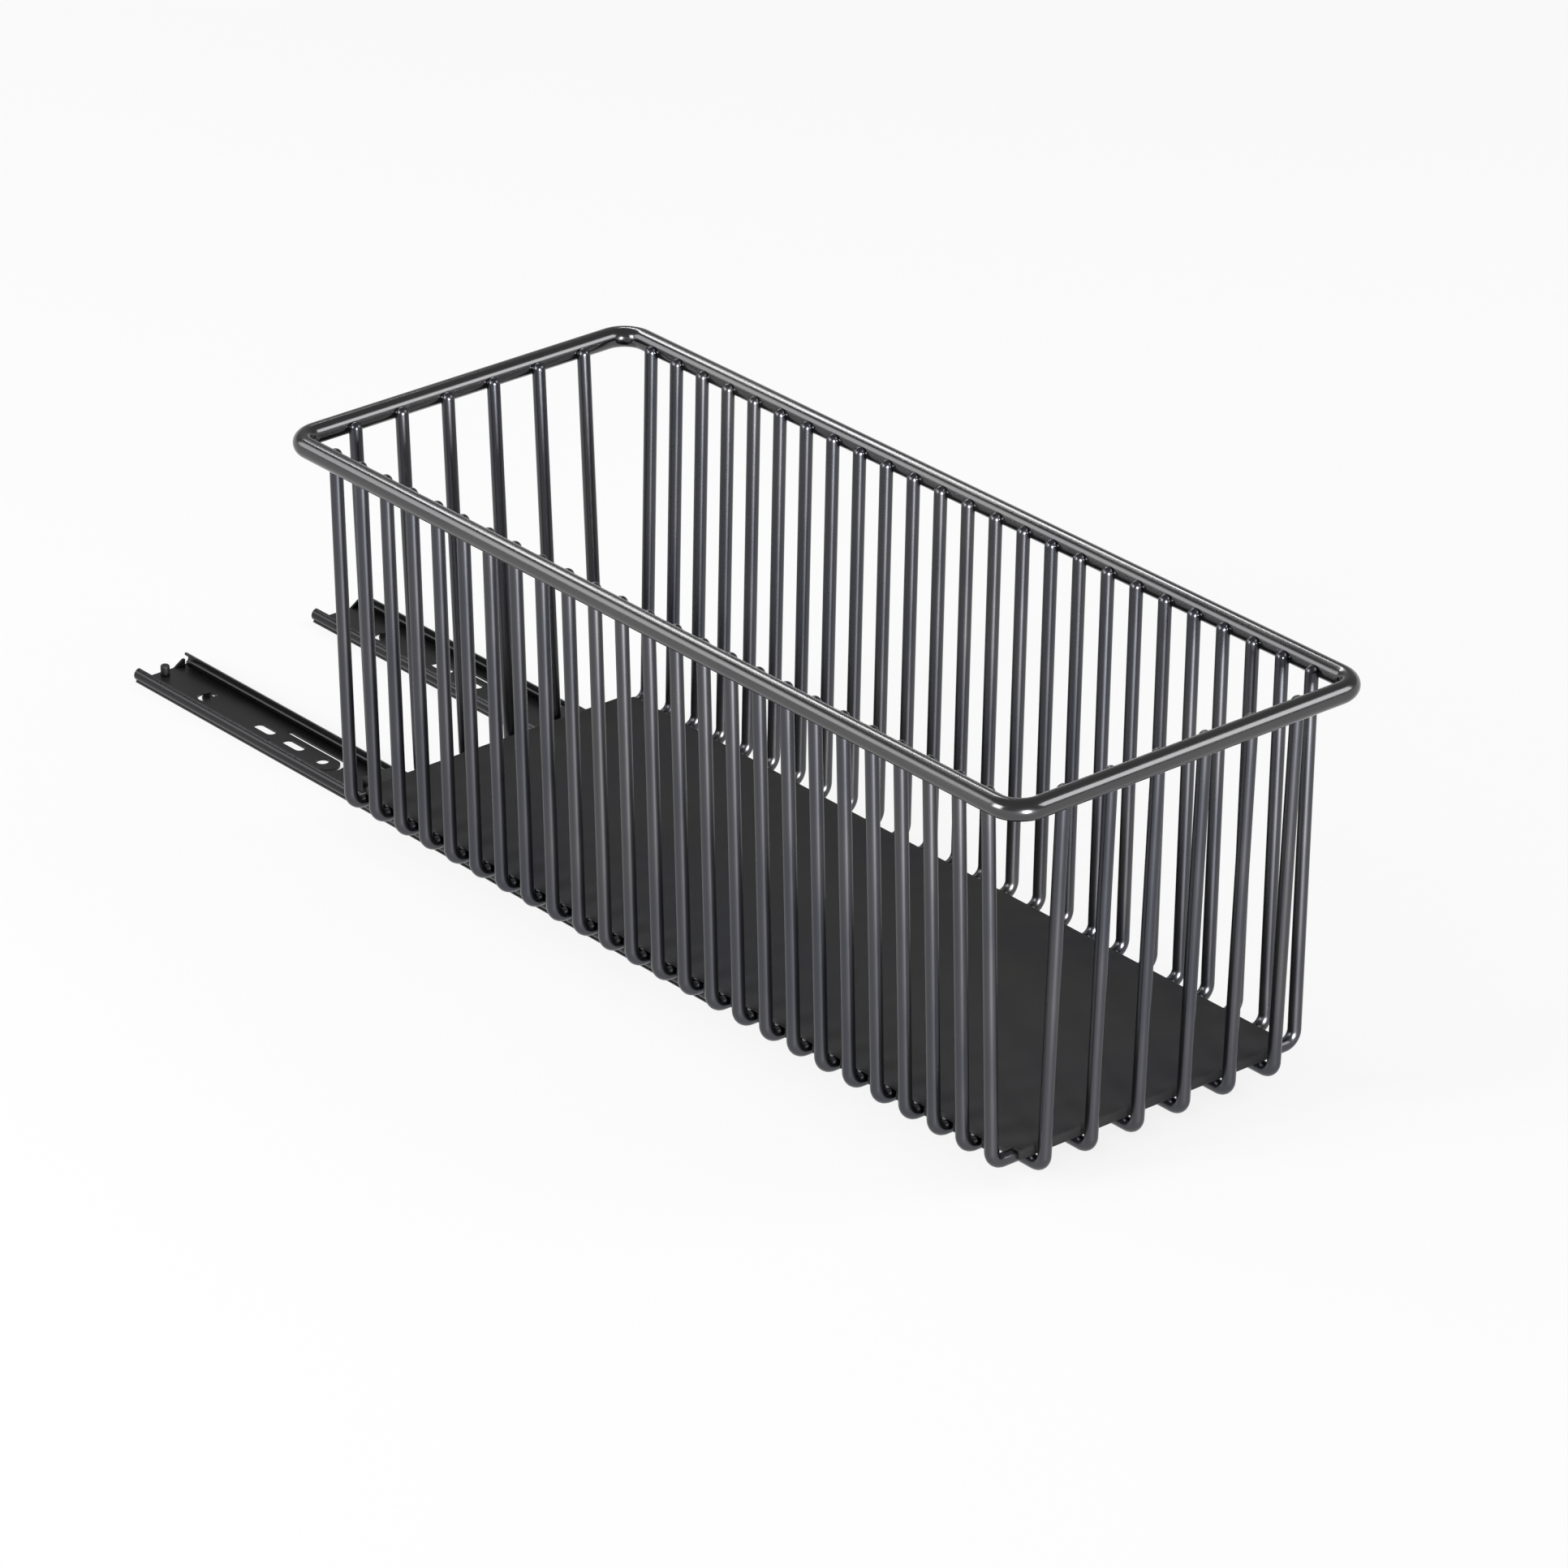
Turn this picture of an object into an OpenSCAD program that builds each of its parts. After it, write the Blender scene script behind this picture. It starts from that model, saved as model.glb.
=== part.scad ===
// Pull-out cabinet basket: a welded wire basket on two ball-bearing slides.
// The outer rails screw down to the cabinet floor. The basket, with the inner rails
// welded under it, runs out over them on caged balls.
// Frame: +Z up, the front of the cabinet is -Y, and the origin is the centre of the
// four round screw holes, on the plane of the cabinet floor.

/* [Basket] */
// Length of the basket over its rim, front to back
basket_len = 410; // [360:1:460]
// Width of the basket across the outside of its wire walls, at the rim
wall_w = 153; // [149:0.5:168]
// Height from the cabinet floor to the top of the rim
total_h = 160; // [110:1:210]
// Diameter of the rim rod
rim_d = 8; // [6:0.25:9]
// Corner radius of the rim, along the centre of the rod
rim_corner_r = 10; // [8:0.5:18]
// How far the foot of a side wall stands inside its top
side_lean = 3.4; // [0:0.2:5]
// How far the foot of an end wall stands inside its top
end_lean = 7; // [0:0.5:10]

/* [Wires] */
// Diameter of the wires
wire_d = 5; // [4:0.1:5.4]
// Radius of the bend at the foot of each wire, along its centre
wire_bend_r = 5; // [3.5:0.25:6]
// Number of cross wires, which form the two long sides
cross_n = 25; // [15:1:25]
// Gap from the foot of an end wall to the first cross wire, centre to centre
cross_end_gap = 8.1; // [7.4:0.1:14]
// Number of lengthwise wires, which form the front and the back
long_n = 6; // [5:1:7]
// Pitch of the lengthwise wires; each slide lies midway between the two outermost
long_pitch = 21.4; // [20.6:0.1:21.8]
// Height of the domed wire ends above the centre of the rim rod
wire_rise = 2; // [0.5:0.1:2.5]
// How far each wire is sunk into the rim rod where it is welded
weld_depth = 1.8; // [0.5:0.1:2.2]
// How far the cross wires are sunk into the lengthwise wires where they are welded
floor_weld = 1.2; // [0.2:0.1:1.4]

/* [Floor plate] */
// Sheet thickness of the plate
plate_t = 1; // [0.8:0.1:1.5]
// Height of the turned-down lip, from the top of the plate
lip_h = 4; // [3:0.1:4.5]
// Outside radius of the lip's fold
lip_r = 1.6; // [1.5:0.1:2.2]
// Gap between the plate's long edges and the wire wall
plate_side_gap = 3.2; // [2.8:0.1:4.5]
// Gap between the plate's ends and the end wall
plate_end_gap = 2; // [1.6:0.1:3.5]
// Side of the square relief at each corner of the plate
corner_relief = 4; // [3.5:0.5:8]
// Free space at each side of a cross wire in its notch
notch_gap = 0.8; // [0.5:0.1:1.2]
// Free space over a cross wire in its notch
notch_rise = 0.3; // [0.1:0.05:0.5]

/* [Slides] */
// Length of the outer and inner rails
rail_len = 350; // [330:1:356]
// Width over the races of the outer rail
rail_w = 26.8; // [26:0.1:27.6]
// Height of the outer rail
rail_h = 5.8; // [5.8:0.1:7]
// Sheet thickness of the rails
rail_t = 1; // [0.9:0.05:1]
// Diameter of the balls
ball_d = 3; // [2.8:0.05:3]
// Play between a ball and its races
ball_play = 0.05; // [0.02:0.01:0.08]
// Balls along each side of a cage
balls_per_side = 12; // [6:1:14]
// Running gap between the outer rails and the wires above them
run_gap = 0.4; // [0.3:0.1:1]
// Longest pull from closed
pull_max = 170; // [150:1:175]
// How far the basket is pulled out as drawn
pulled_out = 134.5; // [0:0.5:150]
// How far the inner rail's rear end sits inside the rim's rear edge
inner_inset = 4; // [4:0.5:12]
// Play left at each end stop
stop_play = 0.3; // [0.2:0.05:0.5]

/* [Ball cage] */
// Sheet thickness of the cage
cage_t = 0.4; // [0.3:0.05:0.4]
// Height of the cage above the outer rail's web
cage_lift = 0.25; // [0.2:0.05:0.3]
// Play between a ball and its pocket
pocket_play = 0.04; // [0.02:0.01:0.06]

/* [Screw holes] */
// Distance between the front and rear round screw holes
screw_pitch = 224; // [192:1:224]
// Distance of the rear round hole from the rear end of the rail
screw_from_rear = 103; // [102:0.5:104]
// Diameter of the round screw holes
screw_d = 5; // [4:0.1:5.6]
// Width of the slotted holes
slot_w = 4.2; // [3.5:0.1:4.8]
// End-to-end length of the slotted holes
slot_len = 11.5; // [8:0.5:12]
// Distance of the rear slot from the rear end of the rail
slot_a_from_rear = 66.5; // [65.5:0.1:67]
// Distance of the slot in the tongue from the rear end of the rail
slot_b_from_rear = 84.8; // [84.5:0.1:86]

/* [Hidden] */
$fn = 48;

// Vertical stack: rail, running gap, lengthwise wires, cross wires, plate.
long_z = rail_h + run_gap + wire_d / 2;
cross_z = long_z + wire_d - floor_weld;
plate_top = cross_z + wire_d / 2 + plate_t;
rim_z = total_h - rim_d / 2;
wire_top = rim_z + wire_rise;

// Plan of the basket, from its own centre.
weld_reach = rim_d / 2 + wire_d / 2 - weld_depth;
side_x = wall_w / 2 - wire_d / 2;
rim_x = side_x + weld_reach;
rim_y = basket_len / 2 - rim_d / 2;
end_y = rim_y - weld_reach;
side_foot = side_x - side_lean;
end_foot = end_y - end_lean;
cross_pitch = 2 * (end_foot - cross_end_gap) / (cross_n - 1);

// A short collar, a hair thicker than the wire, joins each bend to its straights.
collar_d = wire_d + 0.04;
collar_len = 0.5;

// Plan of the slides.
rail_x = (long_n - 2) / 2 * long_pitch;
rail_rear = screw_from_rear + screw_pitch / 2;
rail_front = rail_rear - rail_len;
basket_y = rail_rear - basket_len / 2 - pulled_out;
inner_rear = basket_y + basket_len / 2 - inner_inset;

// Races: the ball's centre, and the radii of the rolled sheet around it.
race_r = ball_d / 2 + ball_play;
race_x = rail_w / 2 - race_r - rail_t;
race_z = rail_h - race_r - rail_t;
// Angles round a ball's centre that each race covers, from level and outwards.
outer_race = [-75, 90];
inner_race = [120, 210];

// The inner rail's hat, which rises from its races and passes between the lengthwise wires.
shoulder_x = race_x + (race_r + rail_t) * cos(inner_race[0]);
shoulder_z = race_z + (race_r + rail_t) * sin(inner_race[0]);
hat_top = cross_z - wire_d / 2;
hat_side_gap = 0.5;
hat_x = min(shoulder_x, long_pitch / 2 - wire_d / 2 - hat_side_gap);

// Cage: it fills the overlap of the rails at full pull, between the two stops.
stop_t = rail_t;
cage_z = rail_t + cage_lift;
cage_len = rail_len - pull_max - inner_inset - 2 * stop_t - 2 * stop_play;
cage_front = rail_front + stop_t + stop_play + (pull_max - pulled_out) / 2;
cage_wall_h = 0.9;
stop_catch = 0.3;

// The outer rail's foot is a half-round edge, set in a little under the rolled race.
foot_inset = 0.75;

// Stops on the web: a front tab, a lanced tab that keeps the cage in, two sloped rear tabs.
front_tab_w = 6;
front_tab_h = 2.6;
lance_from_rear = 29.5;
lance_r = 3.9;
lance_cut_w = 1.7;
lance_tab_w = 2.6;
lance_tab_h = 2.6;
rear_tab_out = race_x - 0.55;
rear_tab_w = 1;
rear_tab_slope = 4;
rear_tab_h = 3.6;

// The inner rail's turned-down end, and the rubber buffer that it meets when closed.
end_plate_z = lance_tab_h + 0.8;
prong_w = 2.5;
prong_z = cage_z + cage_t - stop_catch;
buffer_d = 3.6;
buffer_top = end_plate_z + 1.2;
buffer_edge_r = 0.8;
buffer_stem_d = 2;
buffer_y = rail_rear - inner_inset + stop_play + buffer_d / 2;

// The tongue cut: two long slits joined by a half ring, round the second slot and the hole.
tongue_from_rear = 75;
tongue_to_rear = 112;
tongue_w = 11;
slit_w = 1.7;
cut_deep = 4 * rail_t;
ball_end_gap = 4;
ball_pitch = (cage_len - 2 * ball_end_gap) / (balls_per_side - 1);

// Wires are numbered from the front and from the left.
function cross_y(i) = (i - (cross_n + 1) / 2) * cross_pitch;
function long_x(j) = (j - (long_n + 1) / 2) * long_pitch;
function cross_name(i) = str("cross_wire_", i < 10 ? "0" : "", i);
function long_name(j) = str("long_wire_", j);

SIDES = [["left", -1], ["right", 1]];

// ---- Shared shapes ----

// A sector of a flat ring, which is how a rolled or folded sheet looks end on.
module ring_sector(r_in, r_out, from, to) {
    step = (to - from) / 3;
    reach = 3 * r_out;
    intersection() {
        difference() {
            circle(r_out);
            circle(r_in);
        }
        polygon(concat([[0, 0]], [for (k = [0:3]) reach * [cos(from + k * step), sin(from + k * step)]]));
    }
}

// A rectangle given by its two corners.
module area(low, high) {
    translate(low) square(high - low);
}

// Extrudes an end-on profile (X across, Y up) towards +Y, from y_from to y_to.
module along_y(y_from, y_to) {
    translate([0, y_to, 0]) rotate([90, 0, 0]) linear_extrude(y_to - y_from) children();
}

// Both mirror halves of a shape drawn at +X.
module both_sides() {
    children();
    mirror([1, 0, 0]) children();
}

// A bend in a rod: it turns from the +X arm towards +Y about the origin.
module rod_bend(r, d, turn) {
    rotate_extrude(angle = turn) translate([r, 0]) circle(d = d);
}

// ---- Basket ----

// The rim: one closed rod, four straights and four bends.
module rim_shape() {
    straight_x = rim_x - rim_corner_r;
    straight_y = rim_y - rim_corner_r;
    translate([0, 0, rim_z]) {
        for (s = [-1, 1]) {
            translate([s * rim_x, 0, 0]) rotate([90, 0, 0])
                cylinder(d = rim_d, h = 2 * straight_y, center = true);
            translate([0, s * rim_y, 0]) rotate([0, 90, 0])
                cylinder(d = rim_d, h = 2 * straight_x, center = true);
        }
        for (turn = [0:3]) {
            across = turn % 2 == 0 ? straight_x : straight_y;
            along = turn % 2 == 0 ? straight_y : straight_x;
            rotate(turn * 90) translate([across, along, 0]) rod_bend(rim_corner_r, rim_d, 90);
        }
    }
}

// A round rod along X, centred on the origin.
module rod_x(len) {
    rotate([0, 90, 0]) cylinder(d = wire_d, h = len, center = true);
}

// The collar at the end of a bend, centred on the origin.
module collar() {
    cylinder(d = collar_d, h = collar_len, center = true);
}

// One U-shaped wire in the XZ plane: a foot, two bends and two legs with domed ends.
// The legs lean out from foot_x, at the height of the foot, to top_x, at the height of the rim.
module bent_wire(foot_x, top_x, foot_z) {
    tilt = atan((top_x - foot_x) / (rim_z - foot_z));
    bend_x = foot_x - wire_bend_r * tan(45 - tilt / 2);
    leg_low = foot_z + wire_bend_r * (1 - sin(tilt));
    leg_len = (wire_top - wire_d / 2 - leg_low) / cos(tilt);
    translate([0, 0, foot_z]) rod_x(2 * bend_x);
    both_sides() {
        translate([bend_x, 0, foot_z]) rotate([0, 90, 0]) collar();
        translate([bend_x, 0, foot_z + wire_bend_r]) rotate([90, 0, 0]) rotate([0, 0, -90])
            rod_bend(wire_bend_r, wire_d, 90 - tilt);
        translate([bend_x + wire_bend_r * cos(tilt), 0, leg_low]) rotate([0, tilt, 0]) {
            collar();
            cylinder(d = wire_d, h = leg_len);
            translate([0, 0, leg_len]) sphere(d = wire_d);
        }
    }
}

module rim_rod() {
    color("#3f3f43") translate([0, basket_y, 0]) rim_shape();
}

// Wires are coped where they are welded into the rim and to each other, so the faces meet.
module cross_wire(i) {
    color("#4a4a4e") translate([0, basket_y, 0]) difference() {
        translate([0, cross_y(i), 0]) bent_wire(side_foot, side_x, cross_z);
        rim_shape();
        for (j = [1:long_n]) translate([long_x(j), cross_y(i), long_z]) rotate(90) rod_x(2 * wire_d);
    }
}

module long_wire(j) {
    color("#4a4a4e") translate([0, basket_y, 0]) difference() {
        translate([long_x(j), 0, 0]) rotate(90) bent_wire(end_foot, end_y, long_z);
        rim_shape();
    }
}

// Half of the plate end on: the deck, the fold and the lip.
module plate_profile(half_w) {
    fold_x = half_w - lip_r;
    fold_z = plate_top - lip_r;
    area([0, plate_top - plate_t], [fold_x, plate_top]);
    translate([fold_x, fold_z]) ring_sector(lip_r - plate_t, lip_r, 0, 90);
    area([half_w - plate_t, plate_top - lip_h], [half_w, fold_z]);
}

// The plate rests on the cross wires, and its side lips are notched to let them through.
// The lips at its ends hang clear above the lengthwise wires.
module floor_plate() {
    half_x = side_foot - wire_d / 2 - plate_side_gap;
    half_y = end_foot - wire_d / 2 - plate_end_gap;
    notch_top = plate_top - plate_t + notch_rise;
    notch = [2 * lip_r, wire_d + 2 * notch_gap, 2 * lip_h];
    color("#2f2f31") translate([0, basket_y, 0]) difference() {
        union() {
            both_sides() along_y(corner_relief - half_y, half_y - corner_relief) plate_profile(half_x);
            rotate(90) both_sides() along_y(corner_relief - half_x, half_x - corner_relief)
                plate_profile(half_y);
        }
        for (i = [1:cross_n], s = [-1, 1])
            translate([s * half_x, cross_y(i), notch_top - lip_h]) cube(notch, center = true);
    }
}

// ---- Slides ----

// Outer rail end on: a flat web with half-round feet, and races rolled in over the balls.
module outer_profile() {
    foot_r = rail_t / 2;
    foot_x = rail_w / 2 - foot_inset - foot_r;
    both_sides() difference() {
        union() {
            area([0, 0], [foot_x, rail_t]);
            translate([foot_x, foot_r]) circle(foot_r);
            translate([race_x, race_z])
                ring_sector(race_r, race_r + rail_t, outer_race[0], outer_race[1]);
        }
        translate([race_x, race_z]) circle(race_r);
    }
}

// Inner rail end on: a raised hat that meets the wires, and races that face outwards.
module inner_profile() {
    both_sides() {
        area([0, hat_top - rail_t], [hat_x, hat_top]);
        difference() {
            union() {
                area([hat_x - rail_t, shoulder_z - rail_t], [hat_x, hat_top]);
                area([hat_x - rail_t, shoulder_z - rail_t], [shoulder_x, shoulder_z]);
                translate([race_x, race_z])
                    ring_sector(race_r, race_r + rail_t, inner_race[0], inner_race[1]);
            }
            translate([race_x, race_z]) circle(race_r);
        }
    }
}

// A through cut with round ends, running along Y.
module slot_cut(y, w, len) {
    run = len - w;
    translate([0, y, 0]) cube([w, run, cut_deep], center = true);
    for (s = [-1, 1])
        translate([0, y + s * run / 2, 0]) cylinder(d = w, h = cut_deep, center = true);
}

// The U-shaped slit that frees the screw tongue, so the rail can be nudged into line.
module tongue_cut() {
    bend_y = rail_rear - tongue_to_rear + tongue_w / 2;
    start_y = rail_rear - tongue_from_rear;
    for (s = [-1, 1]) {
        translate([s * tongue_w / 2, (bend_y + start_y) / 2, 0])
            cube([slit_w, start_y - bend_y, cut_deep], center = true);
        translate([s * tongue_w / 2, start_y, 0]) cylinder(d = slit_w, h = cut_deep, center = true);
    }
    translate([0, bend_y, -cut_deep / 2]) linear_extrude(cut_deep)
        ring_sector(tongue_w / 2 - slit_w / 2, tongue_w / 2 + slit_w / 2, -180, 0);
}

// A tab turned up from the middle of the web.
module web_tab(y_low, w, h) {
    translate([-w / 2, y_low, 0]) cube([w, stop_t, h]);
}

// The tabs at the two corners of the rear end, which slope down to the web.
module rear_tabs() {
    along_y(rail_rear - stop_t, rail_rear) both_sides() polygon([
        [rear_tab_out, 0],
        [rear_tab_out, rear_tab_h],
        [rear_tab_out - rear_tab_w, rear_tab_h],
        [rear_tab_out - rear_tab_w - rear_tab_slope, rail_t],
        [rear_tab_out - rear_tab_w - rear_tab_slope, 0]
    ]);
}

// The cut round three sides of the lanced tab, which is folded up out of the web.
module lance_cut() {
    translate([0, rail_rear - lance_from_rear, -cut_deep / 2]) linear_extrude(cut_deep)
        ring_sector(lance_r - lance_cut_w, lance_r, -30, 210);
}

module outer_rail(side) {
    color("#262628") translate([side * rail_x, 0, 0]) {
        difference() {
            along_y(rail_front, rail_rear) outer_profile();
            for (y = [-screw_pitch / 2, screw_pitch / 2])
                translate([0, y, 0]) cylinder(d = screw_d, h = cut_deep, center = true);
            slot_cut(rail_rear - slot_a_from_rear, slot_w, slot_len);
            slot_cut(rail_rear - slot_b_from_rear, slot_w, slot_len);
            slot_cut(screw_from_rear - slot_a_from_rear - screw_pitch / 2, slot_w, slot_len);
            tongue_cut();
            lance_cut();
            translate([0, buffer_y, 0]) cylinder(d = buffer_stem_d, h = cut_deep, center = true);
        }
        web_tab(rail_front, front_tab_w, front_tab_h);
        web_tab(rail_rear - lance_from_rear, lance_tab_w, lance_tab_h);
        rear_tabs();
    }
}

// The inner rail is welded up against the cross wires. Its rear end is turned down:
// the plate strikes the buffer, and the two prongs catch the cage.
module inner_rail(side) {
    color("#303033") translate([side * rail_x, 0, 0]) {
        along_y(inner_rear - rail_len, inner_rear) inner_profile();
        along_y(inner_rear - stop_t, inner_rear) {
            area([-hat_x, end_plate_z], [hat_x, hat_top]);
            both_sides() area([hat_x - prong_w, prong_z], [hat_x, end_plate_z]);
        }
    }
}

module ball_cage(side) {
    color("#8c8c8c") translate([side * rail_x, cage_front, 0]) difference() {
        along_y(0, cage_len) both_sides() {
            area([0, cage_z], [race_x + cage_t / 2, cage_z + cage_t]);
            area([race_x - cage_t / 2, cage_z], [race_x + cage_t / 2, race_z + cage_wall_h]);
        }
        for (k = [0:balls_per_side - 1])
            translate([0, ball_end_gap + k * ball_pitch, race_z]) rotate([0, 90, 0])
                cylinder(d = ball_d + 2 * pocket_play, h = 2 * rail_w, center = true);
    }
}

module balls(side) {
    color("silver") translate([side * rail_x, cage_front, race_z])
        for (s = [-1, 1], k = [0:balls_per_side - 1])
            translate([s * race_x, ball_end_gap + k * ball_pitch, 0]) sphere(d = ball_d);
}

// A rubber knob pressed into the web, which the closing rail runs up against.
module rear_buffer(side) {
    r = buffer_d / 2;
    shoulder = [r - buffer_edge_r, buffer_top - buffer_edge_r];
    color("#1a1a1a") translate([side * rail_x, buffer_y, 0]) rotate_extrude() {
        area([0, 0], [buffer_stem_d / 2, rail_t]);
        area([0, rail_t], [r, shoulder[1]]);
        area([0, rail_t], [shoulder[0], buffer_top]);
        translate(shoulder) circle(buffer_edge_r);
    }
}

rim_rod();
for (i = [1:cross_n]) cross_wire(i);
for (j = [1:long_n]) long_wire(j);
floor_plate();
outer_rail(-1);  // left_outer_rail
outer_rail(1);  // right_outer_rail
inner_rail(-1);  // left_inner_rail
inner_rail(1);  // right_inner_rail
ball_cage(-1);  // left_ball_cage
ball_cage(1);  // right_ball_cage
balls(-1);  // left_balls
balls(1);  // right_balls
rear_buffer(-1);  // left_rear_buffer
rear_buffer(1);  // right_rear_buffer
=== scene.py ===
# %% [markdown]
# # A pull-out cabinet basket
#
# This basket slides out of a narrow kitchen cabinet. It is a welded wire basket with a sheet
# steel floor, carried by two ball-bearing slides that are screwed to the cabinet floor.
#
# The solid model already gives every size, so the script starts by loading it as a fixed frame.
# The slides, cages, balls and buffers keep their solids and only get a finish. The rim, the
# wires and the floor plate are modelled again, with smooth bends and folded edges, exactly
# where their solids are.

# %% Load the frame
import math

import bmesh
import bpy
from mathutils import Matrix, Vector


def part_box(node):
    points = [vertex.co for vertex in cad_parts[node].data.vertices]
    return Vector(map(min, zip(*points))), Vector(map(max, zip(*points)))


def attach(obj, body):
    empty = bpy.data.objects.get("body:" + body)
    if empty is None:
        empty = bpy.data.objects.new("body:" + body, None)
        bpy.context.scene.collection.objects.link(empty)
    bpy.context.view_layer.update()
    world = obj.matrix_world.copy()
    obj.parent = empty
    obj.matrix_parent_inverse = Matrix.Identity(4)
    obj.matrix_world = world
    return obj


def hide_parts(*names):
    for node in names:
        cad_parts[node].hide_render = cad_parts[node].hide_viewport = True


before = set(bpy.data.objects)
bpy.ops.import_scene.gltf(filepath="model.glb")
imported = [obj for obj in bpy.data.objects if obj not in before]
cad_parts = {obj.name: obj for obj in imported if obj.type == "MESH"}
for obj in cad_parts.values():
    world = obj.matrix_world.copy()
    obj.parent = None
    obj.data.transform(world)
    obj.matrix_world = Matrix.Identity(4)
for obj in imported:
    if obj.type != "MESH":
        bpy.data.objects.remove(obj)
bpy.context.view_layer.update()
MM = 0.001

# %% [markdown]
# ## The camera
#
# A small object looks best from far away through a long lens, because its parallel edges then
# stay nearly parallel. The camera stands about three metres off, at the front left, and looks
# down on the basket at 26 degrees. It could be turned by hand or by a constraint. A tracking
# quaternion is exact and leaves nothing behind: it points the camera's -Z axis along the line
# of sight and keeps the picture level.

# %% Place the camera
CAMERA_AT = Vector((-1771.0, -2237.2, 1420.3)) * MM
AZIMUTH = math.radians(-39.777)
ELEVATION = math.radians(26.145)
SENSOR_WIDTH = 36.0
IMAGE_WIDTH = 1932
FOCAL_PIXELS = 10531.0

def direction_to(azimuth, elevation):
    """The direction from the basket to something; azimuth 0 is in front of it, 90 to its right."""
    return Vector((
        math.sin(azimuth) * math.cos(elevation),
        -math.cos(azimuth) * math.cos(elevation),
        math.sin(elevation),
    ))

def point_camera():
    data = bpy.data.cameras.new("camera")
    data.sensor_width = SENSOR_WIDTH
    data.lens = FOCAL_PIXELS * SENSOR_WIDTH / IMAGE_WIDTH
    camera = bpy.data.objects.new("camera", data)
    bpy.context.scene.collection.objects.link(camera)
    camera.location = CAMERA_AT
    camera.rotation_mode = "QUATERNION"
    camera.rotation_quaternion = (-direction_to(AZIMUTH, ELEVATION)).to_track_quat("-Z", "Y")
    bpy.context.scene.camera = camera
    return camera

camera = point_camera()
print("lens in mm:", round(camera.data.lens, 1))

# %% [markdown]
# ## Colours and nodes
#
# Colours are picked on a screen, as sRGB hex values. Blender's shaders work in linear light,
# so one function turns a hex value into linear numbers with the sRGB standard's own formula.
# A second small function adds a node, sets its properties and fills its inputs: an input is
# either a value or another node's output to be linked.

# %% Colour and node helpers
def linear(hex_colour):
    channels = []
    for start in (1, 3, 5):
        c = int(hex_colour[start:start + 2], 16) / 255
        channels.append(c / 12.92 if c <= 0.04045 else ((c + 0.055) / 1.055) ** 2.4)
    return (*channels, 1.0)

def add_node(tree, kind, inputs=None, **settings):
    node = tree.nodes.new(kind)
    for name, value in settings.items():
        setattr(node, name, value)
    for key, value in (inputs or {}).items():
        if isinstance(value, bpy.types.NodeSocket):
            tree.links.new(value, node.inputs[key])
        else:
            node.inputs[key].default_value = value
    return node

def new_material(name):
    material = bpy.data.materials.new(name)
    material.use_nodes = True
    material.node_tree.nodes.clear()
    return material, material.node_tree

def finish_material(tree, shader):
    add_node(tree, "ShaderNodeOutputMaterial", {"Surface": shader})

print("a mid grey in linear light:", [round(c, 3) for c in linear("#808080")[:3]])

# %% [markdown]
# ## The gunmetal powder coat of the rods
#
# The rim and the wires are mild steel, welded and then powder coated in black with a fine
# metal flake.
# The flake makes the coat reflect as a dark metal does: a wire is mid grey where it faces a
# pale room and almost black where it faces its neighbours. The powder melts and levels, but
# never quite flat: it keeps a faint orange peel, about a millimetre across.
#
# Paint is usually made as a glossy skin over a dark colour. That skin mirrors only a few
# hundredths of the room, and the rods would look flat and black. So this coat is a dark metal
# with a shallow bump, and a slow noise moves its colour and gloss a little.

# %% The finish function and the powder coats of the rods
DRIFT_SIZE = 60 * MM
DRIFT_RANGE = (0.3, 0.7)
GLOSS_LOWER = 0.03
GLOSS_HIGHER = 0.04

def surface_finish(name, colours, roughness, grain_mm, grain_height_mm, metal, specular=0.5):
    """A finish with two colours that drift and a fine grain; metal is 1 if it shines as metal."""
    material, tree = new_material(name)
    where = add_node(tree, "ShaderNodeTexCoord").outputs["Object"]
    grain = add_node(
        tree, "ShaderNodeTexNoise",
        {"Vector": where, "Scale": 1 / (grain_mm * MM), "Detail": 2.0, "Roughness": 0.4},
    )
    drift = add_node(
        tree, "ShaderNodeTexNoise", {"Vector": where, "Scale": 1 / DRIFT_SIZE, "Detail": 3.0},
    )
    tint = add_node(
        tree, "ShaderNodeMix",
        {"Factor": drift.outputs["Fac"], "A": linear(colours[0]), "B": linear(colours[1])},
        data_type="RGBA",
    )
    gloss = add_node(
        tree, "ShaderNodeMapRange",
        {"Value": drift.outputs["Fac"], "From Min": DRIFT_RANGE[0], "From Max": DRIFT_RANGE[1],
         "To Min": roughness - GLOSS_LOWER, "To Max": roughness + GLOSS_HIGHER},
    )
    bump = add_node(
        tree, "ShaderNodeBump",
        {"Height": grain.outputs["Fac"], "Distance": grain_height_mm * MM, "Strength": 1.0},
    )
    shader = add_node(
        tree, "ShaderNodeBsdfPrincipled",
        {"Base Color": tint.outputs["Result"], "Roughness": gloss.outputs["Result"],
         "Normal": bump.outputs["Normal"], "Metallic": metal, "Specular IOR Level": specular},
    )
    finish_material(tree, shader.outputs["BSDF"])
    return material

# Orange peel 1.2 mm across and 3 micrometres high: it only just breaks up the bright lines.
wire_coat = surface_finish(
    "gunmetal_powder_coat_wires", ("#44464f", "#504f4e"),
    roughness=0.28, grain_mm=1.2, grain_height_mm=0.003, metal=1.0,
)
# The thicker rod cools more slowly, so its coat levels more: the peel is wider and lower.
rim_coat = surface_finish(
    "gunmetal_powder_coat_rim", ("#505053", "#5c5b5a"),
    roughness=0.2, grain_mm=1.6, grain_height_mm=0.002, metal=1.0,
)
print("made", wire_coat.name, "and", rim_coat.name)

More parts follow.
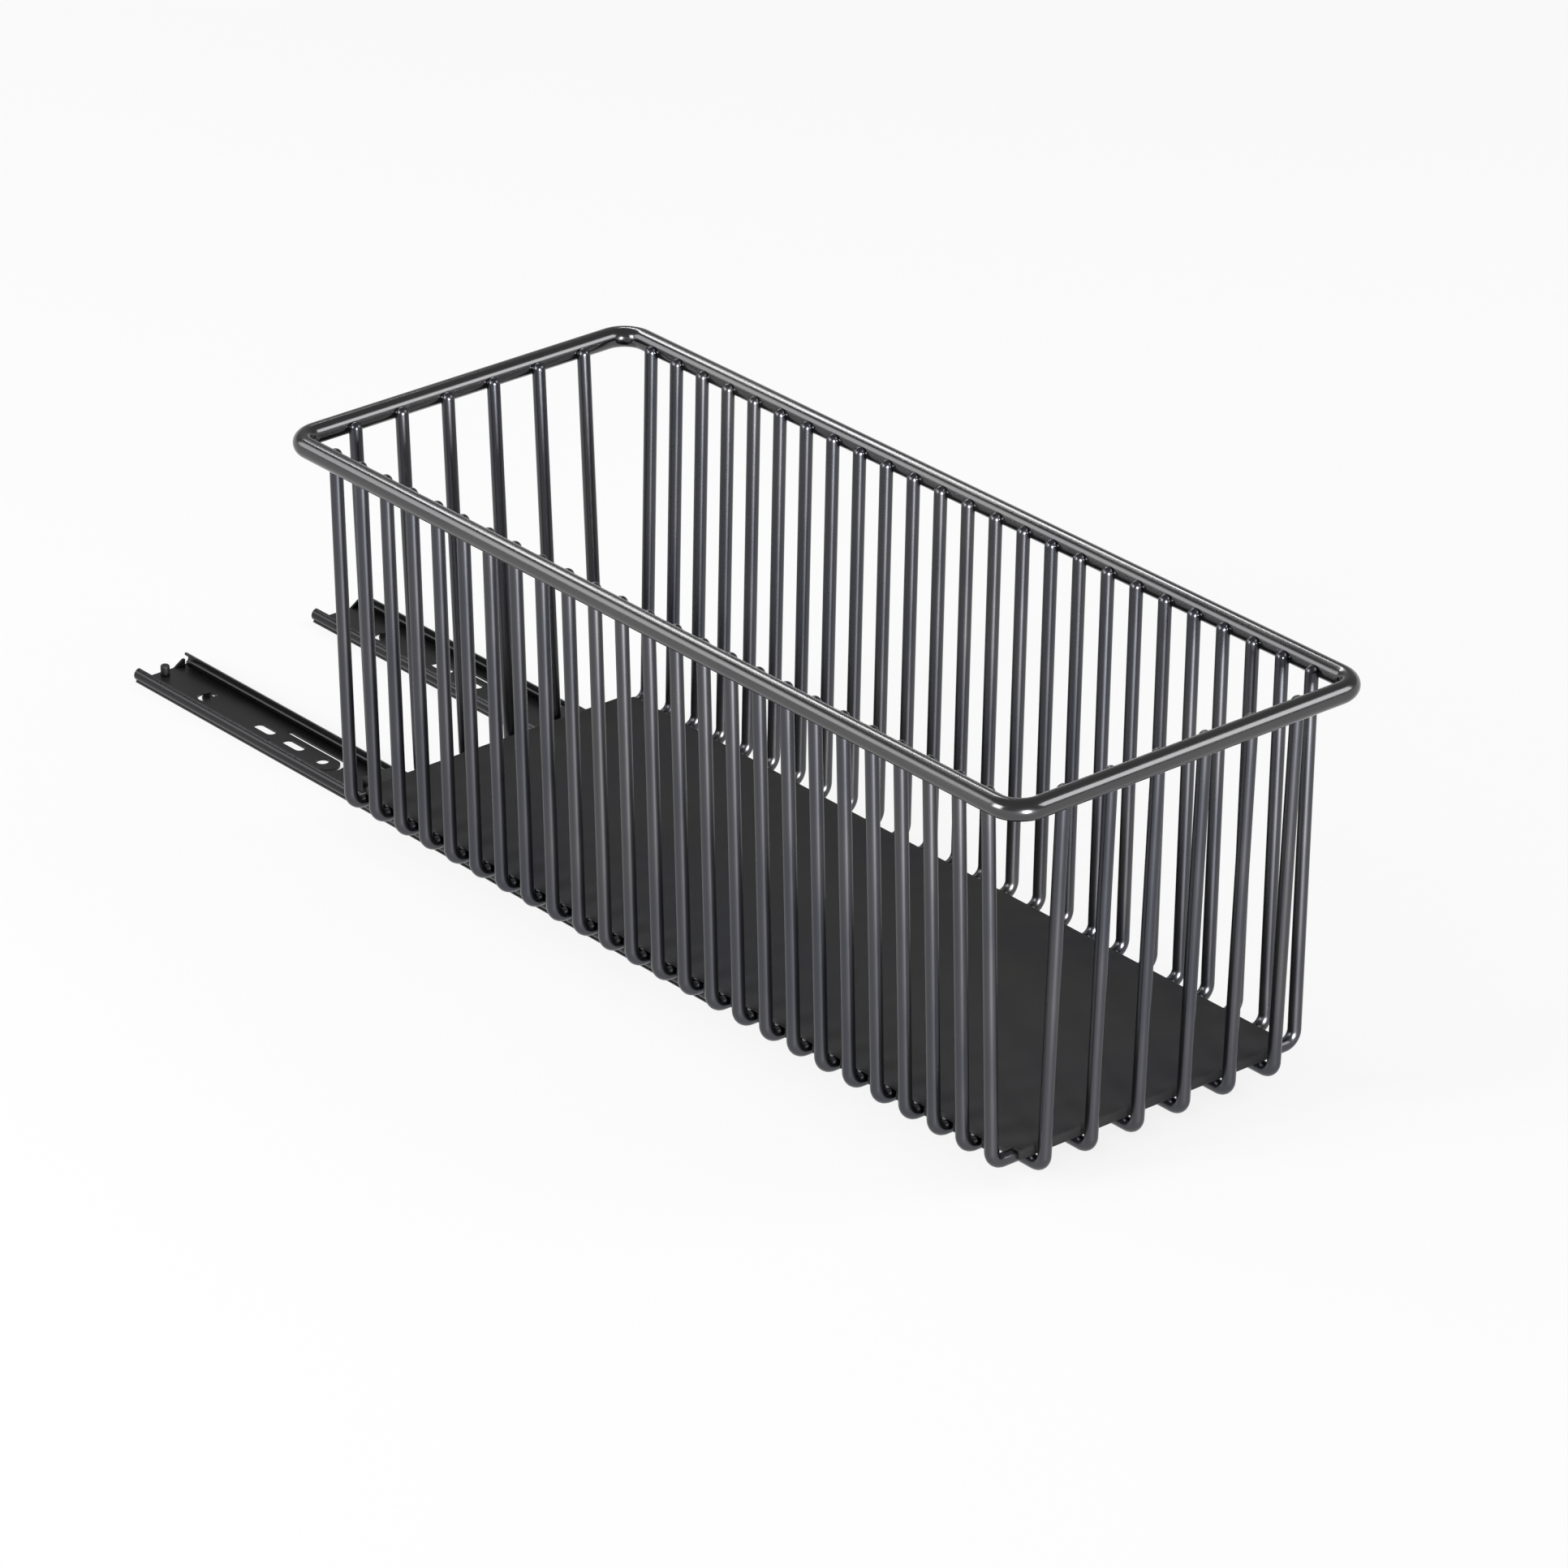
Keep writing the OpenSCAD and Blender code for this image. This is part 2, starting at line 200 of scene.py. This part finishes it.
# %% [markdown]
# ## The other finishes
#
# The floor plate has a matt, slightly sandy powder coat without flake. The slides are pressed
# from sheet and black zinc plated, which is a still darker metal. Inside them the cages are
# bright zinc-plated sheet, the balls are polished bearing steel, and the buffers are rubber.
#
# All of them are a colour, a gloss and a grain of their own size, so the same function makes
# them, and only the numbers differ.

# %% Matt powder coat, black zinc, bright zinc, steel and rubber
# Sandy grain 0.7 mm across: the sheet looks even and dull, without a clear highlight.
plate_coat = surface_finish(
    "matt_powder_coat_plate", ("#2e3038", "#403e3a"),
    roughness=0.7, grain_mm=0.7, grain_height_mm=0.012, metal=0.0, specular=0.1,
)
# Black zinc follows the rolled sheet's faint waves: a dark, oily shine along the races.
slide_coat = surface_finish(
    "black_zinc_plate_slides", ("#303032", "#3a3a3b"),
    roughness=0.28, grain_mm=2.5, grain_height_mm=0.0006, metal=1.0,
)
# Bright zinc crystals 1.5 mm across: a cool, slightly cloudy silver.
cage_zinc = surface_finish(
    "bright_zinc_plate_cages", ("#9fa1a7", "#b3b5b9"),
    roughness=0.32, grain_mm=1.5, grain_height_mm=0.001, metal=1.0,
)
# Ground and polished steel: a clean mirror, with only a trace of grease on it.
ball_steel = surface_finish(
    "polished_bearing_steel_balls", ("#c2c4c9", "#d0d2d6"),
    roughness=0.12, grain_mm=4.0, grain_height_mm=0.0002, metal=1.0,
)
# Moulded rubber takes the mould's fine spark-eroded texture: a soft dull black.
buffer_rubber = surface_finish(
    "moulded_rubber_buffers", ("#161617", "#1c1c1d"),
    roughness=0.62, grain_mm=0.5, grain_height_mm=0.01, metal=0.0, specular=0.3,
)
print("made", len(bpy.data.materials), "materials")

# %% [markdown]
# ## Dress the solids that stay
#
# The slides are pressed and rolled sheet, and their solids already have every race, slot and
# tab at its true size. Modelling them again would add nothing, so each solid keeps its mesh
# and only its material slots are filled anew.

# %% Give the slides their finishes
FINISHES = {
    "outer_rail": slide_coat,
    "inner_rail": slide_coat,
    "ball_cage": cage_zinc,
    "balls": ball_steel,
    "rear_buffer": buffer_rubber,
}
SIDES = ("left", "right")

def dress(node_name, material):
    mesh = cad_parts[node_name].data
    mesh.materials.clear()
    mesh.materials.append(material)

for side in SIDES:
    for part, material in FINISHES.items():
        dress(f"{side}_{part}", material)
print("dressed", len(SIDES) * len(FINISHES), "nodes of the slides")

# %% [markdown]
# ## Sizes of the basket
#
# The frame gives the boxes of the solids, so the rod sizes and the places of the first wires
# are measured from it. The bends, the lean of the walls and the width across them can't be
# read from a box, and these are written down.

# %% Measure the basket
RIM_CORNER = 10 * MM
WIRE_BEND = 5 * MM
SIDE_LEAN = 3.4 * MM
END_LEAN = 7 * MM
# Across the outsides of the two long walls, at the height of the rim.
WALL_WIDTH = 153 * MM

rim_low, rim_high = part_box("rim_rod")
first_low, first_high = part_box("cross_wire_01")
next_low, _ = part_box("cross_wire_02")
long_low, long_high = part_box("long_wire_1")
long_next_low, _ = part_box("long_wire_2")
CROSS_NAMES = sorted(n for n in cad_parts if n.startswith("cross_wire_"))
LONG_NAMES = sorted(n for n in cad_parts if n.startswith("long_wire_"))

rim_d = rim_high.z - rim_low.z
wire_d = long_high.x - long_low.x
basket_y = (rim_low.y + rim_high.y) / 2
rim_z = (rim_low.z + rim_high.z) / 2
cross_pitch = next_low.y - first_low.y
long_pitch = long_next_low.x - long_low.x
print("rim rod", round(rim_d / MM, 2), "wire", round(wire_d / MM, 2), "pitches",
      round(cross_pitch / MM, 2), round(long_pitch / MM, 2))

# %% [markdown]
# ## The rim rod
#
# The rim is a round rod bent into a closed rectangle and butt welded. It could be put together
# from four cylinders and four quarter rings, but then eight joints have to meet. A curve swept
# with a circle has no joints and bends as the rod does. The script draws the four corners.
# Geometry Nodes rounds them with a fillet and carries a circle along the line. The tree's
# sizes are named inputs, so the same tree makes a rim or a wire of any size.
#
# A modifier's input is set by its socket's identifier. The modifier is then evaluated into a
# plain mesh, because the finished object must not depend on it.

# %% Geometry Nodes helpers
MERGE_WITHIN = 0.001 * MM

def new_tree(name, inputs):
    """A Geometry Nodes tree with named inputs, and those inputs as outputs of its first node."""
    tree = bpy.data.node_groups.new(name, "GeometryNodeTree")
    tree.interface.new_socket("Geometry", in_out="INPUT", socket_type="NodeSocketGeometry")
    for label, kind in inputs.items():
        tree.interface.new_socket(label, in_out="INPUT", socket_type=kind)
    tree.interface.new_socket("Geometry", in_out="OUTPUT", socket_type="NodeSocketGeometry")
    return tree, add_node(tree, "NodeGroupInput").outputs

def end_tree(tree, geometry, material):
    """Real faces with closed seams, smooth shading and one material, then out."""
    real = add_node(tree, "GeometryNodeRealizeInstances", {"Geometry": geometry})
    merged = add_node(
        tree, "GeometryNodeMergeByDistance",
        {"Geometry": real.outputs[0], "Distance": MERGE_WITHIN},
    )
    smooth = add_node(tree, "GeometryNodeSetShadeSmooth", {"Geometry": merged.outputs[0]})
    painted = add_node(
        tree, "GeometryNodeSetMaterial", {"Geometry": smooth.outputs[0], "Material": material},
    )
    add_node(tree, "NodeGroupOutput", {"Geometry": painted.outputs[0]})

def evaluate(name, curve, tree, values):
    """Runs a tree on a curve and returns the result as a plain mesh object."""
    holder = bpy.data.objects.new(name + "_source", curve)
    bpy.context.scene.collection.objects.link(holder)
    modifier = holder.modifiers.new(tree.name, "NODES")
    modifier.node_group = tree
    sockets = {s.name: s.identifier for s in tree.interface.items_tree if s.in_out == "INPUT"}
    for label, value in values.items():
        modifier[sockets[label]] = value
    graph = bpy.context.evaluated_depsgraph_get()
    mesh = bpy.data.meshes.new_from_object(holder.evaluated_get(graph))
    mesh.name = name
    piece = bpy.data.objects.new(name, mesh)
    bpy.context.scene.collection.objects.link(piece)
    holder.modifiers.remove(modifier)
    bpy.data.objects.remove(holder)
    return piece

def polyline(name, points, shares=None, closed=False):
    """A curve of straight runs through points, each with its own share of the rod's radius."""
    curve = bpy.data.curves.new(name, "CURVE")
    curve.dimensions = "3D"
    spline = curve.splines.new("POLY")
    spline.points.add(len(points) - 1)
    for point, place, share in zip(spline.points, points, shares or [1.0] * len(points)):
        point.co = (*place, 1.0)
        point.radius = share
    spline.use_cyclic_u = closed
    return curve

print("seams are merged within", MERGE_WITHIN / MM, "mm")

# %% Sweep the rim rod
ROD_INPUTS = {
    "Rod diameter": "NodeSocketFloat", "Bend radius": "NodeSocketFloat",
    "Bend steps": "NodeSocketInt", "Sides": "NodeSocketInt",
}
RIM_BEND_STEPS = 14
RIM_SIDES = 36

def rod_tree(name, more_inputs=None):
    """A tree that rounds a line's corners and sweeps a rod along it."""
    tree, given = new_tree(name, {**ROD_INPUTS, **(more_inputs or {})})
    bends = add_node(
        tree, "GeometryNodeFilletCurve",
        {"Curve": given["Geometry"], "Radius": given["Bend radius"], "Count": given["Bend steps"]},
        mode="POLY",
    )
    half = add_node(
        tree, "ShaderNodeMath", {0: given["Rod diameter"], 1: 0.5}, operation="MULTIPLY",
    )
    ring = add_node(
        tree, "GeometryNodeCurvePrimitiveCircle",
        {"Resolution": given["Sides"], "Radius": half.outputs[0]},
    )
    share = add_node(tree, "GeometryNodeInputRadius")
    swept = add_node(
        tree, "GeometryNodeCurveToMesh",
        {"Curve": bends.outputs[0], "Profile Curve": ring.outputs[0], "Scale": share.outputs[0]},
    )
    return tree, given, swept.outputs[0]

def make_rim():
    tree, _, rod = rod_tree("swept_rim")
    end_tree(tree, rod, rim_coat)
    x, y = rim_high.x - rim_d / 2, (rim_high.y - rim_low.y) / 2 - rim_d / 2
    corners = [(x, basket_y - y, rim_z), (x, basket_y + y, rim_z),
               (-x, basket_y + y, rim_z), (-x, basket_y - y, rim_z)]
    return evaluate("rim", polyline("rim_line", corners, closed=True), tree, {
        "Rod diameter": rim_d, "Bend radius": RIM_CORNER,
        "Bend steps": RIM_BEND_STEPS, "Sides": RIM_SIDES,
    })

rim = make_rim()
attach(rim, "basket")
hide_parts("rim_rod")
print("rim faces:", len(rim.data.polygons))

# %% [markdown]
# ## The wires
#
# Twenty-five wires run across and form the two long sides. Six run lengthwise under them and
# form the front and the back. Each is bent twice, its legs lean outwards, and its cut ends
# are tumbled to a dome.
#
# Thirty-one wires drawn one by one would be thirty-one chances of a slip. So one path is drawn
# for each kind, and the tree sweeps it and repeats it along a line. A few extra points near the
# path's ends, where the radius shrinks like a circle's, make the domes.

# %% Draw the wire paths
DOME_STEPS = 6

def wire_path(name, foot, top, foot_z, top_z, across):
    """A U along X or Y through the wire's centre; its legs are at foot below, at top by the rim."""
    lean = Vector((top - foot, rim_z - foot_z)).normalized()
    dome_base = Vector((foot, foot_z)) + lean * ((top_z - wire_d / 2 - foot_z) / lean.y)
    half = []
    for step in range(DOME_STEPS + 1):
        angle = math.pi / 2 * step / DOME_STEPS
        half.append((dome_base + lean * (wire_d / 2 * math.cos(angle)), math.sin(angle)))
    half.append((Vector((foot, foot_z)), 1.0))
    whole = half + [(Vector((-p.x, p.y)), share) for p, share in reversed(half)]
    points = [(p.x, 0, p.y) if across else (0, p.x, p.y) for p, _ in whole]
    return polyline(name, points, [share for _, share in whole])

side_top = WALL_WIDTH / 2 - wire_d / 2
side_foot = side_top - SIDE_LEAN
end_top = (long_high.y - long_low.y) / 2 - wire_d / 2
end_foot = end_top - END_LEAN
cross_z = first_low.z + wire_d / 2
long_z = long_low.z + wire_d / 2
cross_path = wire_path("cross_path", side_foot, side_top, cross_z, first_high.z, across=True)
long_path = wire_path("long_path", end_foot, end_top, long_z, long_high.z, across=False)
print("wire feet in mm:", round(side_foot / MM, 1), round(end_foot / MM, 1))

# %% Sweep and repeat the wires
ROW_INPUTS = {
    "Count": "NodeSocketInt", "First": "NodeSocketVector", "Step": "NodeSocketVector",
}
WIRE_BEND_STEPS = 10
WIRE_SIDES = 20

def wire_row_tree(name):
    tree, given, rod = rod_tree(name, ROW_INPUTS)
    row = add_node(
        tree, "GeometryNodeMeshLine",
        {"Count": given["Count"], "Start Location": given["First"], "Offset": given["Step"]},
    )
    placed = add_node(
        tree, "GeometryNodeInstanceOnPoints", {"Points": row.outputs[0], "Instance": rod},
    )
    end_tree(tree, placed.outputs[0], wire_coat)
    return tree

def make_wires(name, path, names, first, step):
    wires = evaluate(name, path, wire_row_tree("row_of_" + name), {
        "Rod diameter": wire_d, "Bend radius": WIRE_BEND,
        "Bend steps": WIRE_BEND_STEPS, "Sides": WIRE_SIDES,
        "Count": len(names), "First": first, "Step": step,
    })
    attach(wires, "basket")
    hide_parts(*names)
    print(name, "faces:", len(wires.data.polygons))
    return wires

make_wires(
    "cross_wires", cross_path, CROSS_NAMES,
    (0, (first_low.y + first_high.y) / 2, 0), (0, cross_pitch, 0),
)
make_wires(
    "long_wires", long_path, LONG_NAMES,
    ((long_low.x + long_high.x) / 2, basket_y, 0), (long_pitch, 0, 0),
)

# %% [markdown]
# ## The floor plate
#
# The floor is one sheet of steel. Its edges are folded down into short lips, and the side lips
# are notched where a cross wire passes below the sheet.
#
# Notches could be cut out of a solid plate with booleans, but those leave ragged faces in the
# rounded fold. So the mesh is a single skin first: one flat deck, and rows of faces that curl
# down along its four edges. The faces of a notch are simply left out. Solidify then gives the
# sheet its thickness and Bevel softens the cut edges.

# %% Sizes of the folded sheet
PLATE_T = 1 * MM
LIP_H = 4 * MM
FOLD_R = 1.6 * MM
NOTCH_GAP = 0.8 * MM
# A notch ends this far above the sheet's underside, so that it clears the wire.
NOTCH_RISE = 0.3 * MM
CORNER_RELIEF = 4 * MM
NOTCH_STEPS = 4
LIP_STEPS = 3

def fold_rows():
    """How far out and how far down each row of the skin is, from the deck to the lip's edge."""
    notch_angle = math.acos(1 - (PLATE_T - NOTCH_RISE) / FOLD_R)
    angles = [notch_angle * step / NOTCH_STEPS for step in range(NOTCH_STEPS + 1)]
    angles += [notch_angle + (math.pi / 2 - notch_angle) * step / LIP_STEPS
               for step in range(1, LIP_STEPS + 1)]
    rows = [(FOLD_R * math.sin(a), -FOLD_R * (1 - math.cos(a))) for a in angles]
    return rows + [(FOLD_R, -LIP_H)]

print("rows of the fold, in mm:", [(round(o / MM, 2), round(d / MM, 2)) for o, d in fold_rows()])

# %% Fold one side of the plate
def stretches(notches, end):
    """An edge from -end to end as (start, stop, notched) stretches."""
    half = wire_d / 2 + NOTCH_GAP
    marks, at = [], -end
    for place in notches:
        start, stop = max(place - half, -end), min(place + half, end)
        if start > at:
            marks.append((at, start, False))
        marks.append((start, stop, True))
        at = stop
    if at < end:
        marks.append((at, end, False))
    return marks

def fold_side(mesh, place, reach, marks):
    """Curls one side down and returns the corners of the deck along it."""
    rows = fold_rows()
    stops = [marks[0][0]] + [stop for _, stop, _ in marks]
    grid = {}

    def corner(row, column):
        if (row, column) not in grid:
            out, drop = rows[row]
            grid[row, column] = mesh.verts.new(place(reach - FOLD_R + out, stops[column], drop))
        return grid[row, column]

    for column, (_, _, notched) in enumerate(marks):
        for row in range(NOTCH_STEPS if notched else len(rows) - 1):
            mesh.faces.new((corner(row, column), corner(row + 1, column),
                            corner(row + 1, column + 1), corner(row, column + 1))).smooth = True
    return [corner(0, column) for column in range(len(stops))]

middle = (len(CROSS_NAMES) - 1) / 2
cross_places = [(i - middle) * cross_pitch for i in range(len(CROSS_NAMES))]
print("first and last notch in mm:", [round(p / MM, 1) for p in (cross_places[0], cross_places[-1])])

# %% Make the plate
CUT_EDGE = 0.12 * MM
CUT_EDGE_STEPS = 2
CUT_EDGE_ANGLE = math.radians(60)

def make_plate():
    low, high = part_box("floor_plate")
    half_x, half_y = high.x, (high.y - low.y) / 2
    mesh = bmesh.new()
    outline = []
    # Each side is drawn as if it faced +X, then turned by whole quarter turns.
    for turn, (reach, end, notches) in enumerate(
        [(half_x, half_y, cross_places), (half_y, half_x, [])] * 2
    ):
        cos, sin = [(1, 0), (0, 1), (-1, 0), (0, -1)][turn]

        def place(out, along, drop):
            return (out * cos - along * sin, out * sin + along * cos + basket_y, high.z + drop)

        edge = end - CORNER_RELIEF
        outline.append(mesh.verts.new(place(reach - CORNER_RELIEF, -edge, 0)))
        outline += fold_side(mesh, place, reach, stretches(notches, edge))
    mesh.faces.new(outline)
    data = bpy.data.meshes.new("floor_sheet")
    mesh.to_mesh(data)
    mesh.free()
    data.materials.append(plate_coat)
    plate = bpy.data.objects.new("floor_sheet", data)
    bpy.context.scene.collection.objects.link(plate)
    sheet = plate.modifiers.new("thickness", "SOLIDIFY")
    sheet.thickness = PLATE_T
    sheet.offset = -1
    rounded = plate.modifiers.new("cut_edges", "BEVEL")
    rounded.width = CUT_EDGE
    rounded.segments = CUT_EDGE_STEPS
    rounded.limit_method = "ANGLE"
    rounded.angle_limit = CUT_EDGE_ANGLE
    return plate

plate = make_plate()
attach(plate, "basket")
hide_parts("floor_plate")
print("plate faces before its modifiers:", len(plate.data.polygons))

# %% [markdown]
# ## The floor
#
# The basket stands on a plain white floor that still catches its shadow. A white floor could be
# had with stronger lamps, but they would bleach the object too. So most of the floor is a plain
# glow of strength 1 for what the camera and mirror-like surfaces see. The rest is matt paint,
# and that part darkens under the basket.

# %% Floor
FLOOR_SIZE = 12
FLOOR_GLOW = 0.85

def seen_rays(tree):
    """1 where the camera looks, straight or by a mirror or glass, and 0 where light is gathered."""
    path = add_node(tree, "ShaderNodeLightPath").outputs
    seen = add_node(
        tree, "ShaderNodeMath",
        {0: path["Is Camera Ray"], 1: path["Is Glossy Ray"]}, operation="MAXIMUM",
    )
    return add_node(
        tree, "ShaderNodeMath",
        {0: seen.outputs[0], 1: path["Is Transmission Ray"]}, operation="MAXIMUM",
    ).outputs[0]

def make_floor():
    material, tree = new_material("plain_white_floor")
    share = add_node(
        tree, "ShaderNodeMath", {0: seen_rays(tree), 1: FLOOR_GLOW}, operation="MULTIPLY",
    )
    paint = add_node(tree, "ShaderNodeBsdfDiffuse", {"Color": linear("#f4f4f4")})
    white = add_node(tree, "ShaderNodeEmission", {"Color": linear("#ffffff"), "Strength": 1.0})
    mixed = add_node(
        tree, "ShaderNodeMixShader", {0: share.outputs[0], 1: paint.outputs[0], 2: white.outputs[0]},
    )
    finish_material(tree, mixed.outputs[0])
    bpy.ops.mesh.primitive_plane_add(size=FLOOR_SIZE, location=(0, 0, 0))
    floor = bpy.context.object
    floor.name = "floor"
    floor.data.materials.append(material)
    return floor

floor = make_floor()
print("floor in metres:", [round(v, 1) for v in floor.dimensions])

# %% [markdown]
# ## World and lamps
#
# The world is a plain room, dim enough for the wires to keep dark sides. Its wall is white low
# down, so that the floor's far edge doesn't show in a view from close to the floor.
#
# Three large soft panels give the shapes their light: one from the left, one behind and one at
# the front right. A round rod shows each panel as a soft stripe along its length, so a panel's
# place sets where the stripe lies on the rod. Two narrow strips light reflections only: they
# add the thin bright line along each rod and don't brighten the colours.

# %% World
ROOM_LEVEL = 0.35
# Heights on the wall, as sines of the angle above the floor.
WALL_WHITE_TO = 0.12
WALL_DIM_FROM = 0.2

def set_world():
    world = bpy.data.worlds.new("pale_studio_room")
    world.use_nodes = True
    tree = world.node_tree
    tree.nodes.clear()
    direction = add_node(tree, "ShaderNodeTexCoord").outputs["Generated"]
    height = add_node(tree, "ShaderNodeSeparateXYZ", {"Vector": direction}).outputs["Z"]
    wall = add_node(
        tree, "ShaderNodeMapRange",
        {"Value": height, "From Min": WALL_WHITE_TO, "From Max": WALL_DIM_FROM,
         "To Min": 1.0, "To Max": ROOM_LEVEL},
    )
    level = add_node(
        tree, "ShaderNodeMix", {"Factor": seen_rays(tree), "A": ROOM_LEVEL, "B": wall.outputs[0]},
    )
    sky = add_node(
        tree, "ShaderNodeBackground",
        {"Color": linear("#ffffff"), "Strength": level.outputs["Result"]},
    )
    add_node(tree, "ShaderNodeOutputWorld", {"Surface": sky.outputs[0]})
    bpy.context.scene.world = world
    return world

world = set_world()
print("world:", world.name, "at", ROOM_LEVEL)

# %% Lamps
LAMP_DISTANCE = 1.9

def add_lamp(name, azimuth, elevation, size, watts, only_gloss=False):
    """A softbox that faces the basket; its angles, in degrees, are counted as the camera's are."""
    towards = direction_to(math.radians(azimuth), math.radians(elevation))
    data = bpy.data.lights.new(name, "AREA")
    data.shape = "RECTANGLE"
    data.size, data.size_y = size
    data.energy = watts
    lamp = bpy.data.objects.new(name, data)
    bpy.context.scene.collection.objects.link(lamp)
    lamp.location = Vector((0, basket_y, rim_z / 2)) + towards * LAMP_DISTANCE
    lamp.rotation_mode = "QUATERNION"
    lamp.rotation_quaternion = (-towards).to_track_quat("-Z", "Y")
    lamp.visible_diffuse = not only_gloss
    print(name, "stands at", [round(v, 2) for v in lamp.location])

add_lamp("left_softbox", azimuth=-100, elevation=24, size=(0.8, 0.9), watts=27)
add_lamp("rear_left_panel", azimuth=-142, elevation=27, size=(1.1, 0.8), watts=9)
add_lamp("front_right_panel", azimuth=43, elevation=33, size=(1.1, 0.8), watts=15)
add_lamp("front_gloss_strip", azimuth=-21, elevation=5, size=(0.16, 0.3), watts=190, only_gloss=True)
add_lamp("back_gloss_strip", azimuth=162, elevation=44, size=(1.0, 0.15), watts=9, only_gloss=True)
bpy.context.scene.view_settings.view_transform = "Standard"
